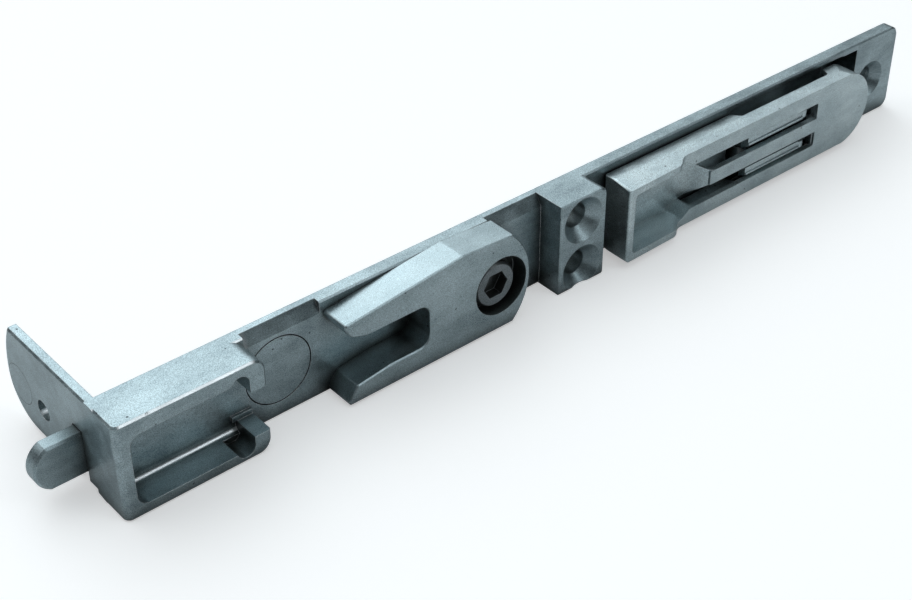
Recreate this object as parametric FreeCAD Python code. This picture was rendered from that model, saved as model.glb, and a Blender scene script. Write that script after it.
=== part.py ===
import FreeCAD, Part
import math
import os

# Lever operated edge bolt for the passive leaf of a double casement.
# A long die-cast body carries a tilt-strike pocket, an adjustable closing fork, a screw block
# and a hinged lever. The lever draws a flat drive bar along the back, and the bar draws the bolt.
#
# Lengths are millimetres. X runs along the body from its bolt end, Y runs from the front into
# the leaf, and Z runs across the body, upwards, with zero in the middle of its width.

Vector = FreeCAD.Vector

# Cast body: long plate
plate_width = 16.0
plate_thickness = 2.2
plate_front_y = 5.0
plate_corner_radius = 1.8
plate_edge_chamfer = 0.25
plate_tail = 11.0

# Cast body: tilt-strike pocket at the bolt end
pocket_block_length = 22.9
pocket_wall = 2.0
pocket_top_wall = 2.5
pocket_bottom_wall = 1.8
pocket_floor_depth = 4.9
pocket_corner_radius = 1.8
pocket_scoop_radius = 1.5
pocket_scoop_bite = 0.5
pocket_mouth_radius = 0.6
hook_thickness = 2.6
hook_reach = 4.85
lip_reach = 3.5
block_corner_radius = 1.0
block_edge_chamfer = 0.3
hook_corner_radius = 2.1
pocket_cove_radius = 1.1
lip_rib_length = 3.3
lip_rib_width = 0.8
lip_rib_height = 0.5

# Cast body: end plate that turns round the end of the leaf
end_plate_thickness = 1.5
end_plate_reach = 29.65
end_plate_nose_radius = 6.55
end_plate_side_radius = 18.3
end_plate_lift = 0.85
end_plate_hole_diameter = 3.2
end_plate_hole_inset = 9.55
end_plate_hole_drop = 1.7
heel_depth = 9.2
heel_length = 5.4
heel_top = 2.4
heel_fillet_radius = 2.0
heel_corner_radius = 0.6

# Cast body: bevelled rims each side of the full ledge behind the fork
rim_thickness = 1.0
rim_bevel_height = 1.9
ledge_gap = 12.5
ledge_length = 30.6

# Closing fork and its eccentric screw
fork_gap = 12.7
fork_length = 34.2
fork_proud = 0.1
fork_edge_chamfer = 0.2
fork_clearance = 0.05
fork_roof_rise = 0.57
fork_roof_radius = 1.5
fork_roof_offset = 21.2
fork_tip_drop = 1.7
fork_upper_prong = 4.95
fork_lower_prong = 3.7
fork_base_lift = 0.3
fork_tip_radius = 0.5
fork_nose_length = 1.3
fork_nose_drop = 0.9
fork_nose_radius = 1.2
fork_shoulder = 3.4
jaw_flare_length = 4.0
jaw_flare_radius = 3.0
lower_flare_length = 8.0
lower_flare_radius = 5.0
lower_tip_length = 2.0
lower_tip_drop = 0.8
jaw_depth = 15.2
jaw_corner_radius = 2.0
fork_end_radius = 10.8
fork_screw_inset = 5.6
counterbore_diameter = 9.75
screw_head_diameter = 7.5
screw_head_thickness = 2.2
screw_head_recess = 0.6
screw_key_size = 4.0
screw_key_depth = 1.7
screw_head_chamfer = 0.4
screw_shank_diameter = 4.4
screw_peened_diameter = 5.6
screw_peened_thickness = 0.6
collar_diameter = 6.0
eccentricity = 0.5
adjust_angle = 60.0
guide_key_offset = 20.4
guide_key_width = 3.0
guide_key_height = 1.5
guide_key_inset = 2.0

# Screw block in the middle
fork_to_block_gap = 6.7
screw_block_length = 9.4
screw_block_recess = 0.45
screw_block_corner_radius = 1.2
fixing_shift = 0.1
fixing_hole_diameter = 4.1
fixing_head_diameter = 7.8
fixing_spacing = 8.6
fixing_drop = 0.4
end_hole_inset = 6.4
end_hole_drop = 0.6
end_hole_head_diameter = 7.2

# Lever
lever_gap = 3.1
lever_length = 59.6
lever_width = 13.6
lever_draft = 0.5
lever_corner_radius = 0.8
lever_end_slope = 0.5
lever_end_wall = 0.7
lever_skin_y = 0.3
lever_skin = 1.0
lever_wall = 1.1
lever_rest_gap = 0.25
lever_edge_radius = 0.5
lever_end_margin = 0.05
grip_length = 11.5
grip_proud = 1.5
grip_fall = 0.25
grip_wall = 1.4
grip_floor = 0.75
grip_corner_radius = 0.8
neck_length = 1.4
neck_overlap = 0.6
neck_radius = 1.2
ogee_length = 1.55
ogee_radius = 2.6
window_top_band = 2.7
window_length = 30.6
centre_bar_width = 2.5
centre_bar_drop = 0.15
window_end_inset = 13.6
window_corner_radius = 0.4
cavity_inset = 1.2
cavity_corner_radius = 0.8
ramp_length = 3.2
ramp_radius = 4.0
ramp_inset = 1.6
ramp_overlap = 4.0
ramp_skew = 0.6
ramp_flare_radius = 2.0
knuckle_back_y = 4.9
knuckle_length = 7.6
knuckle_radius = 0.8
knuckle_slope = 1.0
side_cut_y = 2.87
side_cut_slope = 1.0
side_cut_lead = 0.4

# Hinge and link
hinge_inset = 5.6
hinge_y = 4.5
hinge_pin_diameter = 2.6
hub_radius = 2.3
ear_radius = 1.6
crank = 6.5
link_length = 15.7
link_eye_radius = 1.4
link_thickness = 1.0
link_spread = 5.4
link_bar_front_y = 2.0
link_bar_back_y = 5.2
link_eye_gap = 0.6
link_heel_radius = 0.6
link_pin_diameter = 2.0
mechanism_drop = 1.95
swing_clearance = 0.3
side_clearance = 0.15
pin_clearance = 0.03
lug_gap = 0.1
lug_thickness = 2.2
lug_foot = 4.0
opening_corner_radius = 5.0
opening_inner_radius = 1.0
opening_margin = 1.4
housing_wall = 0.8

# Drive bar, bolt and what guides them
bar_clearance = 0.1
bar_thickness = 2.0
bar_width = 10.0
bar_drop = 1.0
bar_start = 7.0
bar_corner_radius = 1.0
bar_neck_slope = 2.0
bar_overrun = 10.5
bolt_reach = 7.4
bolt_tail = 15.6
bolt_width = 7.0
bolt_thickness = 2.2
bolt_drop = 2.0
bolt_nose = 2.2
bolt_edge_chamfer = 0.35
notch_clearance = 0.25
notch_corner_radius = 0.4
rivet_diameter = 2.4
rivet_head_diameter = 4.0
rivet_head_height = 0.8
rivet_inset = 6.1
rivet_pitch = 4.0
stud_gap = 5.1
stud_head_diameter = 11.1
stud_head_thickness = 1.15
stud_seam = 0.2
peg_diameter = 4.0
peg_clearance = 0.08
washer_width = 7.0
washer_thickness = 0.8
peg_head_diameter = 5.4
peg_head_height = 0.6
fork_peg_offset = 10.4
lever_peg_offset = 15.0

# How far the cutting shapes run past the faces they open
overrun = 1.0

# Stations along the body
stud_x = pocket_block_length + stud_gap
ledge_x = pocket_block_length + ledge_gap
ledge_end_x = ledge_x + ledge_length
fork_x = pocket_block_length + fork_gap
fork_end_x = fork_x + fork_length
screw_block_x = fork_end_x + fork_to_block_gap
screw_block_end_x = screw_block_x + screw_block_length
fixing_x = screw_block_x + screw_block_length / 2 - fixing_shift
lever_x = screw_block_end_x + lever_gap
lever_end_x = lever_x + lever_length
hinge_x = lever_end_x - hinge_inset
link_pin_x = hinge_x - crank
bar_pin_x = link_pin_x - link_length
window_end_x = lever_end_x - window_end_inset
window_x = window_end_x - window_length
swing_radius = math.hypot(hinge_inset, hinge_y - lever_skin_y)
opening_end_x = hinge_x + swing_radius + swing_clearance
opening_floor_end_x = hinge_x - (knuckle_back_y - hinge_y) - swing_clearance
opening_x = bar_pin_x - link_eye_radius - opening_margin
housing_x = hinge_x - hub_radius - swing_clearance - housing_wall
plate_end_x = opening_end_x + plate_tail
end_hole_x = plate_end_x - end_hole_inset
peg_stations = (fork_x + fork_peg_offset, lever_x + lever_peg_offset)

# Levels in depth and across the width
half_width = plate_width / 2
plate_back_y = plate_front_y + plate_thickness
bar_front_y = plate_back_y + bar_clearance
bar_back_y = bar_front_y + bar_thickness
bolt_back_y = bar_back_y + bolt_thickness
recess_floor_y = hinge_y + ear_radius + lug_gap
well_radius = lever_width / 2 + swing_clearance
well_axis_y = hinge_y + hinge_inset - lever_width / 2
mechanism_z = -mechanism_drop
link_inner = link_spread / 2 - link_thickness / 2
knuckle_half = link_inner - side_clearance
stroke = crank + link_length - math.sqrt(link_length ** 2 - crank ** 2)

# The part's own origin: middle of the screw pair, on the face that seats against the leaf
origin = Vector(fixing_x, plate_back_y, -fixing_drop)


def box(x0, x1, y0, y1, z0, z1):
    return Part.makeBox(x1 - x0, y1 - y0, z1 - z0, Vector(x0, y0, z0))


def rod_x(y, z, radius, x0, x1):
    return Part.makeCylinder(radius, x1 - x0, Vector(x0, y, z), Vector(1, 0, 0))


def rod_y(x, z, radius, y0, y1):
    return Part.makeCylinder(radius, y1 - y0, Vector(x, y0, z), Vector(0, 1, 0))


def rod_z(x, y, radius, z0, z1):
    return Part.makeCylinder(radius, z1 - z0, Vector(x, y, z0), Vector(0, 0, 1))


def turned(x, z, profile):
    """Solid turned about an axis along Y through (x, z); the profile lists (radius, y) points."""
    points = [Vector(x + radius, y, z) for radius, y in profile]
    points.append(points[0])
    return Part.Face(Part.makePolygon(points)).revolve(Vector(x, 0, z), Vector(0, 1, 0), 360)


def rounded_corner(before, here, after):
    """Start, middle and end of the arc that rounds the corner here by its own radius."""
    towards_before = Vector(before[0] - here[0], before[1] - here[1], 0).normalize()
    towards_after = Vector(after[0] - here[0], after[1] - here[1], 0).normalize()
    corner = Vector(here[0], here[1], 0)
    radius = here[2]
    if radius == 0:
        return corner, None, corner
    half_angle = towards_before.getAngle(towards_after) / 2
    reach = radius / math.tan(half_angle)
    depth = radius / math.sin(half_angle) - radius
    inward = (towards_before + towards_after).normalize()
    return corner + towards_before * reach, corner + inward * depth, corner + towards_after * reach


def outline(corners, to_space):
    """Flat face inside the closed outline of corners (a, b, radius), set in space by to_space."""
    arcs = []
    for index, here in enumerate(corners):
        before = corners[index - 1]
        after = corners[(index + 1) % len(corners)]
        arcs.append(rounded_corner(before, here, after))
    edges = []
    for index, (start, middle, end) in enumerate(arcs):
        if middle is not None:
            edges.append(Part.Arc(to_space(start), to_space(middle), to_space(end)).toShape())
        following = arcs[(index + 1) % len(arcs)][0]
        if (following - end).Length > 1e-6:
            edges.append(Part.LineSegment(to_space(end), to_space(following)).toShape())
    return Part.Face(Part.Wire(edges))


def prism_x(corners, x0, x1):
    """Outline of (y, z, radius) corners carried along X."""
    return outline(corners, lambda p: Vector(x0, p.x, p.y)).extrude(Vector(x1 - x0, 0, 0))


def prism_y(corners, y0, y1):
    """Outline of (x, z, radius) corners carried along Y."""
    return outline(corners, lambda p: Vector(p.x, y0, p.y)).extrude(Vector(0, y1 - y0, 0))


def prism_z(corners, z0, z1):
    """Outline of (x, y, radius) corners carried along Z."""
    return outline(corners, lambda p: Vector(p.x, p.y, z0)).extrude(Vector(0, 0, z1 - z0))


def edges_at(shape, axis, value):
    """Edges of the shape that lie wholly in the plane where the axis has this value."""
    found = []
    for edge in shape.Edges:
        limits = edge.BoundBox
        low = getattr(limits, axis + "Min")
        high = getattr(limits, axis + "Max")
        if abs(low - value) < 1e-3 and abs(high - value) < 1e-3:
            found.append(edge)
    return found


def countersunk_hole(x, z, mouth_diameter, hole_diameter, y0, y1):
    """Through hole along Y whose mouth at y0 opens as a right-angled cone."""
    mouth = mouth_diameter / 2
    hole = hole_diameter / 2
    profile = [
        (0, y0 - overrun),
        (mouth + overrun, y0 - overrun),
        (hole, y0 + mouth - hole),
        (hole, y1 + overrun),
        (0, y1 + overrun),
    ]
    return turned(x, z, profile)


def long_plate():
    corners = [
        (0, -half_width, 0),
        (plate_end_x, -half_width, plate_corner_radius),
        (plate_end_x, half_width, plate_corner_radius),
        (0, half_width, 0),
    ]
    plate = prism_y(corners, plate_front_y, plate_back_y)
    front_edges = [edge for edge in edges_at(plate, "Y", plate_front_y) if edge.BoundBox.XMax > 1]
    return plate.makeChamfer(plate_edge_chamfer, front_edges)


def pocket_block():
    """Deep block at the bolt end, before the pocket is sunk into it."""
    front = [
        (0, -half_width, 0),
        (pocket_block_length, -half_width, hook_corner_radius),
        (pocket_block_length, half_width, hook_corner_radius),
        (0, half_width, 0),
    ]
    side = [
        (0, 0, block_corner_radius),
        (pocket_block_length, 0, 0),
        (pocket_block_length, plate_back_y, 0),
        (0, plate_back_y, 0),
    ]
    block = prism_y(front, 0, plate_back_y).common(prism_z(side, -half_width, half_width))
    top_edge = [edge for edge in edges_at(block, "Y", 0) if edge.BoundBox.ZMin > half_width - 0.1]
    return block.makeChamfer(block_edge_chamfer, top_edge)


def strike_pocket():
    """Hollow of the pocket with its two scoops behind the hook and the lip, and its open mouth."""
    left = pocket_wall
    right = pocket_block_length - hook_thickness
    top = half_width - pocket_top_wall
    bottom = -half_width + pocket_bottom_wall
    hollow = prism_y(
        [
            (left, bottom, pocket_corner_radius),
            (right, bottom, pocket_mouth_radius),
            (right, top, pocket_mouth_radius),
            (left, top, pocket_corner_radius),
        ],
        -1,
        pocket_floor_depth,
    )
    scoop_x = right - pocket_scoop_radius
    upper_z = top - pocket_scoop_bite
    lower_z = bottom + pocket_scoop_bite
    upper_scoop = rod_y(scoop_x, upper_z, pocket_scoop_radius, -overrun, pocket_floor_depth)
    lower_scoop = rod_y(scoop_x, lower_z, pocket_scoop_radius, -overrun, pocket_floor_depth)
    mouth = prism_y(
        [
            (scoop_x, -half_width + lip_reach, 0),
            (pocket_block_length + 1, -half_width + lip_reach, 0),
            (pocket_block_length + 1, half_width - hook_reach, 0),
            (scoop_x, half_width - hook_reach, 0),
        ],
        -1,
        pocket_floor_depth,
    )
    return hollow.fuse([upper_scoop, lower_scoop, mouth])


def pocket_cove():
    """Hollow fillet where the pocket's floor meets its lower wall."""
    bottom = -half_width + pocket_bottom_wall
    x0 = pocket_wall
    x1 = pocket_block_length - hook_thickness
    axis_y = pocket_floor_depth - pocket_cove_radius
    axis_z = bottom + pocket_cove_radius
    corner = box(x0, x1, axis_y, plate_front_y + 1, bottom - pocket_bottom_wall / 2, axis_z)
    return corner.cut(rod_x(axis_y, axis_z, pocket_cove_radius, x0 - 1, x1 + 1))


def lip_rib():
    """Short rib on the pocket floor, along the top of the lip."""
    z0 = -half_width + lip_reach
    x1 = pocket_block_length
    y0 = pocket_floor_depth - lip_rib_height
    return box(x1 - lip_rib_length, x1, y0, plate_front_y + 1, z0, z0 + lip_rib_width)


def end_plate():
    """Thin plate across the end, with a rounded nose, set back by its own lift at the bottom."""
    bottom = -half_width + end_plate_lift
    nose_z = bottom + end_plate_nose_radius
    nose_y = end_plate_reach - end_plate_nose_radius
    rise = half_width - nose_z
    side_centre_y = end_plate_reach - end_plate_side_radius
    top_y = side_centre_y + math.sqrt(end_plate_side_radius ** 2 - rise ** 2)
    middle_angle = math.asin(rise / end_plate_side_radius) / 2
    side_middle = Vector(
        0,
        side_centre_y + end_plate_side_radius * math.cos(middle_angle),
        nose_z + end_plate_side_radius * math.sin(middle_angle),
    )
    nose_middle = Vector(
        0,
        nose_y + end_plate_nose_radius * math.cos(math.pi / 4),
        nose_z - end_plate_nose_radius * math.sin(math.pi / 4),
    )
    root = Vector(0, pocket_wall, half_width)
    top = Vector(0, top_y, half_width)
    side = Vector(0, end_plate_reach, nose_z)
    foot = Vector(0, nose_y, bottom)
    heel = Vector(0, pocket_wall, bottom)
    edges = [
        Part.LineSegment(root, top).toShape(),
        Part.Arc(top, side_middle, side).toShape(),
        Part.Arc(side, nose_middle, foot).toShape(),
        Part.LineSegment(foot, heel).toShape(),
        Part.LineSegment(heel, root).toShape(),
    ]
    plate = Part.Face(Part.Wire(edges)).extrude(Vector(end_plate_thickness, 0, 0))
    rim = [edge for edge in edges_at(plate, "X", 0) if edge.BoundBox.YMax > pocket_wall + 1]
    return plate.makeChamfer(block_edge_chamfer, rim)


def heel():
    """Thick root between the end plate and the back of the pocket block, round the bolt's way out."""
    inside_x = end_plate_thickness / 2
    inside_y = plate_front_y + plate_thickness / 2
    fillet_end_y = heel_depth + heel_fillet_radius
    slope_end_x = heel_length + 2 * heel_corner_radius
    corners = [
        (inside_x, inside_y, 0),
        (inside_x, fillet_end_y, 0),
        (end_plate_thickness, fillet_end_y, 0),
        (end_plate_thickness, heel_depth, heel_fillet_radius),
        (heel_length, heel_depth, heel_corner_radius),
        (slope_end_x, plate_back_y, 0),
        (slope_end_x, inside_y, 0),
    ]
    return prism_z(corners, -half_width + end_plate_lift, heel_top)


def heel_underside():
    """Wedge that lifts the underside of the block's end up to the end plate's lower edge."""
    corners = [
        (plate_front_y - 0.8, -half_width, 0),
        (plate_front_y - 0.8, -half_width - 1, 0),
        (heel_depth + 0.1, -half_width - 1, 0),
        (heel_depth + 0.1, -half_width + end_plate_lift, 0),
    ]
    return prism_x(corners, -1, heel_length)


def bolt_notch():
    """Notch in the end plate that the bolt slides through, open at the plate's lower edge."""
    bolt_top = -bolt_drop + bolt_width / 2
    corners = [
        (heel_depth, -half_width - 1, 0),
        (bolt_back_y + notch_clearance, -half_width - 1, 0),
        (bolt_back_y + notch_clearance, bolt_top + notch_clearance, notch_corner_radius),
        (heel_depth, bolt_top + notch_clearance, 0),
    ]
    return prism_x(corners, -1, heel_length + 2)


def rim_bevel(x0, x1):
    """Wedge that bevels the top rim of the plate between two stations."""
    corners = [
        (plate_front_y - 0.5, half_width + 0.5, 0),
        (plate_back_y - rim_thickness, half_width + 0.5, 0),
        (plate_back_y - rim_thickness, half_width, 0),
        (plate_front_y, half_width - rim_bevel_height, 0),
        (plate_front_y - 0.5, half_width - rim_bevel_height, 0),
    ]
    return prism_x(corners, x0, x1)


def screw_block():
    corners = [
        (screw_block_x, -half_width, 0),
        (screw_block_end_x, -half_width, screw_block_corner_radius / 2),
        (screw_block_end_x, half_width, screw_block_corner_radius),
        (screw_block_x, half_width, 0),
    ]
    block = prism_y(corners, screw_block_recess, plate_back_y)
    return block.makeChamfer(plate_edge_chamfer, edges_at(block, "Y", screw_block_recess))


def guide_key():
    """Rib across the plate that keeps the fork square while it shifts."""
    x = fork_x + guide_key_offset
    reach = half_width - guide_key_inset
    front = plate_front_y - guide_key_height
    return box(x - guide_key_width / 2, x + guide_key_width / 2, front, plate_front_y, -reach, reach)


def lever_opening():
    """Recess in the plate for the link, with a deep well where the lever's end swings in."""
    reach = lever_width / 2 + swing_clearance
    recess = prism_y(
        [
            (opening_x, -reach, opening_inner_radius),
            (opening_end_x, -reach, opening_corner_radius),
            (opening_end_x, reach, opening_corner_radius),
            (opening_x, reach, opening_inner_radius),
        ],
        plate_front_y - 1,
        recess_floor_y,
    )
    well = rod_x(well_axis_y, 0, well_radius, opening_floor_end_x, opening_end_x)
    slot = box(
        bar_pin_x - ear_radius - 2 * swing_clearance,
        bar_pin_x + stroke + ear_radius + 2 * swing_clearance,
        plate_front_y,
        plate_back_y + 1,
        mechanism_z - link_inner,
        mechanism_z + link_inner,
    )
    cheek_relief = box(
        hinge_x - hub_radius - swing_clearance,
        hinge_x + hub_radius,
        plate_front_y,
        hinge_y + hub_radius + swing_clearance,
        mechanism_z - link_inner,
        mechanism_z + link_inner,
    )
    return recess.fuse([well, slot, cheek_relief])


def hinge_housing():
    """Closed round swelling on the back of the plate that the lever's end swings into."""
    radius = well_radius + housing_wall
    drum = rod_x(well_axis_y, 0, radius, housing_x, opening_end_x + housing_wall)
    behind = box(
        housing_x, opening_end_x + housing_wall,
        plate_back_y - plate_thickness / 2, well_axis_y + radius, -radius, radius,
    )
    return drum.common(behind)


def hinge_lug():
    """Lug on the plate that stands between the lever's two cheeks and holds the hinge pin."""
    z0 = mechanism_z - lug_thickness / 2
    z1 = mechanism_z + lug_thickness / 2
    eye = rod_z(hinge_x, hinge_y, hub_radius, z0, z1)
    foot = box(hinge_x - lug_foot, hinge_x, hinge_y, plate_back_y, z0, z1)
    return eye.fuse(foot)


def guide_peg(x):
    """Cast peg on the back of the plate, peened over the washer that keeps the drive bar in."""
    radius = peg_diameter / 2
    head = peg_head_diameter / 2
    seat = bar_back_y + bar_clearance + washer_thickness
    profile = [
        (0, plate_back_y - 0.5),
        (radius, plate_back_y - 0.5),
        (radius, seat),
        (head, seat),
        (head, seat + peg_head_height),
        (0, seat + peg_head_height),
    ]
    return turned(x, -bar_drop, profile)


def body_casting():
    """The whole die-cast body: plate, pocket block, end plate, screw block, lugs and pegs."""
    solid = long_plate().fuse([
        pocket_block(), end_plate(), heel(), screw_block(), guide_key(), hinge_housing(),
    ])
    solid = solid.fuse([guide_peg(x) for x in peg_stations])
    fixing_offset = fixing_spacing / 2
    cutters = [
        strike_pocket(),
        heel_underside(),
        bolt_notch(),
        rim_bevel(pocket_block_length, ledge_x),
        rim_bevel(ledge_end_x, screw_block_x),
        lever_opening(),
        stud_seat(),
        eccentric_seat(),
        countersunk_hole(
            end_hole_x, -end_hole_drop, end_hole_head_diameter, fixing_hole_diameter,
            plate_front_y, plate_back_y,
        ),
    ]
    for z in (-fixing_drop - fixing_offset, -fixing_drop + fixing_offset):
        cutters.append(countersunk_hole(
            fixing_x, z, fixing_head_diameter, fixing_hole_diameter, screw_block_recess, plate_back_y,
        ))
    hole_y = end_plate_reach - end_plate_hole_inset
    cutters.append(Part.makeCylinder(
        end_plate_hole_diameter / 2, end_plate_thickness + 2,
        Vector(-1, hole_y, -end_plate_hole_drop), Vector(1, 0, 0),
    ))
    solid = solid.cut(cutters)
    solid = solid.fuse([hinge_lug(), pocket_cove(), lip_rib()])
    bore = hinge_pin_diameter / 2 + pin_clearance
    solid = solid.cut(rod_z(hinge_x, hinge_y, bore, -half_width + 1.5, half_width - 1.5))
    return solid.removeSplitter()


def stud_seat():
    """Seat in the channel floor for the flush head of the guide stud, and its shank hole."""
    seat_radius = stud_head_diameter / 2
    floor_y = plate_front_y + stud_head_thickness
    profile = [
        (0, plate_front_y - 0.5),
        (seat_radius, plate_front_y - 0.5),
        (seat_radius, floor_y),
        (peg_diameter / 2 + pin_clearance, floor_y),
        (peg_diameter / 2 + pin_clearance, plate_back_y + 0.5),
        (0, plate_back_y + 0.5),
    ]
    return turned(stud_x, 0, profile)


def guide_stud():
    """Round-headed stud, flush in the channel floor, that guides the drive bar behind the plate."""
    radius = peg_diameter / 2
    seat = bar_back_y + bar_clearance + washer_thickness
    head = stud_head_diameter / 2 - stud_seam
    peened = peg_head_diameter / 2
    under_head = plate_front_y + stud_head_thickness - pin_clearance
    profile = [
        (0, plate_front_y),
        (head, plate_front_y),
        (head, under_head),
        (radius, under_head),
        (radius, seat),
        (peened, seat),
        (peened, seat + peg_head_height),
        (0, seat + peg_head_height),
    ]
    return turned(stud_x, 0, profile)


def guide_washer(x, z):
    """Square washer that holds the drive bar on its peg."""
    reach = washer_width / 2
    front = bar_back_y + bar_clearance
    plate = box(x - reach, x + reach, front, front + washer_thickness, z - reach, z + reach)
    return plate.cut(rod_y(x, z, peg_diameter / 2 + pin_clearance, front - 1, front + washer_thickness + 1))


def eccentric_x():
    """Axis of the eccentric screw: one throw short of the middle of the fork's counterbore."""
    return fork_end_x - fork_screw_inset - eccentricity


def eccentric_seat():
    """Hole in the plate for the screw's shank, stepped at the back for its peened end."""
    shank = screw_shank_diameter / 2 + fork_clearance
    peened = screw_peened_diameter / 2 + fork_clearance
    step_y = plate_back_y - screw_peened_thickness - 2 * fork_clearance
    profile = [
        (0, plate_front_y - 0.5),
        (shank, plate_front_y - 0.5),
        (shank, step_y),
        (peened, step_y),
        (peened, plate_back_y + 0.5),
        (0, plate_back_y + 0.5),
    ]
    return turned(eccentric_x(), 0, profile)


def eccentric_screw():
    """Screw with a hexagon socket, an eccentric collar in the fork and a peened shank."""
    x = eccentric_x()
    head_y = screw_head_recess
    collar_y = head_y + screw_head_thickness
    shank_y = plate_front_y - fork_clearance
    shank = screw_shank_diameter / 2
    head = screw_head_diameter / 2
    peened = screw_peened_diameter / 2
    back_y = plate_back_y - fork_clearance
    head_profile = [
        (0, head_y),
        (head - screw_head_chamfer, head_y),
        (head, head_y + screw_head_chamfer),
        (head, collar_y),
        (0, collar_y),
    ]
    shank_profile = [
        (0, shank_y - 1),
        (shank, shank_y - 1),
        (shank, back_y - screw_peened_thickness),
        (peened, back_y - screw_peened_thickness),
        (peened, back_y),
        (0, back_y),
    ]
    collar = rod_y(x + eccentricity, 0, collar_diameter / 2, collar_y - 0.5, shank_y)
    screw = turned(x, 0, head_profile).fuse([collar, turned(x, 0, shank_profile)])
    return screw.cut(hexagon_socket(x, head_y)).removeSplitter()


def hexagon_socket(x, y):
    """Flat-bottomed hexagon hole with a corner on each side."""
    corner_radius = screw_key_size / 2 / math.cos(math.radians(30))
    corners = []
    for index in range(6):
        angle = math.radians(60 * index)
        corners.append((x + corner_radius * math.cos(angle), corner_radius * math.sin(angle), 0))
    return prism_y(corners, y - 0.5, y + screw_key_depth)


def fork_blank():
    """Outline of the closing fork: shallow roof, flared jaw open to the left, rounded end."""
    tip = fork_x
    jaw_end = fork_x + jaw_depth
    roof_x = fork_x + fork_roof_offset
    top = half_width
    jaw_top = half_width - fork_upper_prong
    jaw_bottom = -half_width + fork_base_lift + fork_lower_prong
    base = -half_width + fork_base_lift
    shoulder = fork_end_x - fork_shoulder
    corners = [
        (tip, top - fork_tip_drop, fork_tip_radius),
        (tip + fork_nose_length, jaw_top + fork_nose_drop, fork_nose_radius),
        (tip + jaw_flare_length, jaw_top, jaw_flare_radius),
        (jaw_end, jaw_top, jaw_corner_radius),
        (jaw_end, jaw_bottom, jaw_corner_radius),
        (tip + lower_flare_length, jaw_bottom, lower_flare_radius),
        (tip + lower_tip_length, jaw_bottom - lower_tip_drop, fork_tip_radius),
        (tip, base, fork_tip_radius),
        (fork_end_x, base, 0),
        (fork_end_x, top, 0),
        (shoulder, top, 0),
        (roof_x, top + fork_roof_rise, fork_roof_radius),
    ]
    blank = prism_y(corners, -fork_proud, plate_front_y - fork_clearance)
    end_disc = rod_y(fork_end_x - fork_end_radius, 0, fork_end_radius, -1, plate_front_y + 1)
    square = box(fork_x - 1, shoulder, -1, plate_front_y + 1, -half_width - 1, half_width + 1)
    return blank.common(end_disc.fuse(square))


def strike_fork():
    blank = fork_blank()
    fork = blank.makeChamfer(fork_edge_chamfer, edges_at(blank, "Y", -fork_proud))
    screw_x = eccentric_x() + eccentricity
    seat_y = screw_head_recess + screw_head_thickness + fork_clearance
    collar = collar_diameter / 2 + 1.2 * fork_clearance
    collar_travel = eccentricity * (1 - math.cos(math.radians(adjust_angle)))
    counterbore = rod_y(screw_x, 0, counterbore_diameter / 2, -1, seat_y)
    bore = rod_y(screw_x, 0, collar, -1, plate_front_y)
    bore_left = rod_y(screw_x - collar_travel, 0, collar, -1, plate_front_y)
    bore_waist = box(screw_x - collar_travel, screw_x, -1, plate_front_y, -collar, collar)
    key_x = fork_x + guide_key_offset
    key_half = guide_key_width / 2 + fork_clearance
    key_front = plate_front_y - guide_key_height - fork_clearance
    key_reach = half_width - guide_key_inset + eccentricity + fork_clearance
    groove = box(key_x - key_half, key_x + key_half, key_front, plate_front_y + 1, -key_reach, key_reach)
    return fork.cut([counterbore, bore, bore_left, bore_waist, groove]).removeSplitter()


def lever_blank():
    """Outside of the lever: side profile, rounded end and a slight draft each way from its crease."""
    back = plate_front_y - lever_rest_gap
    side = [
        (lever_x, -grip_proud, lever_edge_radius),
        (lever_x + grip_length, -grip_proud + grip_fall, ogee_radius),
        (lever_x + grip_length + ogee_length, lever_skin_y, ogee_radius),
        (lever_end_x, lever_skin_y, 0),
        (lever_end_x, knuckle_back_y, knuckle_radius),
        (lever_end_x - knuckle_length, knuckle_back_y, lever_edge_radius),
        (lever_end_x - knuckle_length - knuckle_slope, side_cut_y, knuckle_radius),
        (opening_x - side_cut_lead + side_cut_slope, side_cut_y, lever_edge_radius),
        (opening_x - side_cut_lead, back, side_cut_slope),
        (lever_x + lever_end_slope, back, lever_edge_radius),
    ]
    half = lever_width / 2
    end_radius = half - lever_end_margin
    front = [
        (lever_x, -half, lever_corner_radius),
        (lever_end_x, -half, end_radius),
        (lever_end_x, half, end_radius),
        (lever_x, half, lever_corner_radius),
    ]
    crease_y = plate_front_y / 2
    section = [
        (-grip_proud - 1, -half + lever_draft / 2, 0),
        (crease_y, -half, 0),
        (plate_front_y + 1, -half + lever_draft, 0),
        (plate_front_y + 1, half - lever_draft, 0),
        (crease_y, half, 0),
        (-grip_proud - 1, half - lever_draft / 2, 0),
    ]
    blank = prism_z(side, -half, half)
    blank = blank.common(prism_y(front, -grip_proud - 1, plate_front_y + 1))
    return blank.common(prism_x(section, lever_x - 1, lever_end_x + 1))


def grip_recess():
    """Hollow of the finger grip, which narrows into the long window of the lever's front skin."""
    left = lever_x + lever_end_slope + lever_end_wall
    grip_half = lever_width / 2 - grip_wall
    window_half = lever_width / 2 - window_top_band
    neck_x = window_x - neck_length
    neck_end_x = window_x + neck_overlap
    corners = [
        (left, -grip_half, grip_corner_radius),
        (neck_x, -grip_half, neck_radius),
        (neck_end_x, -window_half, neck_radius),
        (window_end_x, -window_half, window_corner_radius),
        (window_end_x, window_half, window_corner_radius),
        (neck_end_x, window_half, neck_radius),
        (neck_x, grip_half, neck_radius),
        (left, grip_half, grip_corner_radius),
    ]
    floor_front = plate_front_y - lever_rest_gap - grip_floor
    return prism_y(corners, -grip_proud - 1, floor_front)


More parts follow.
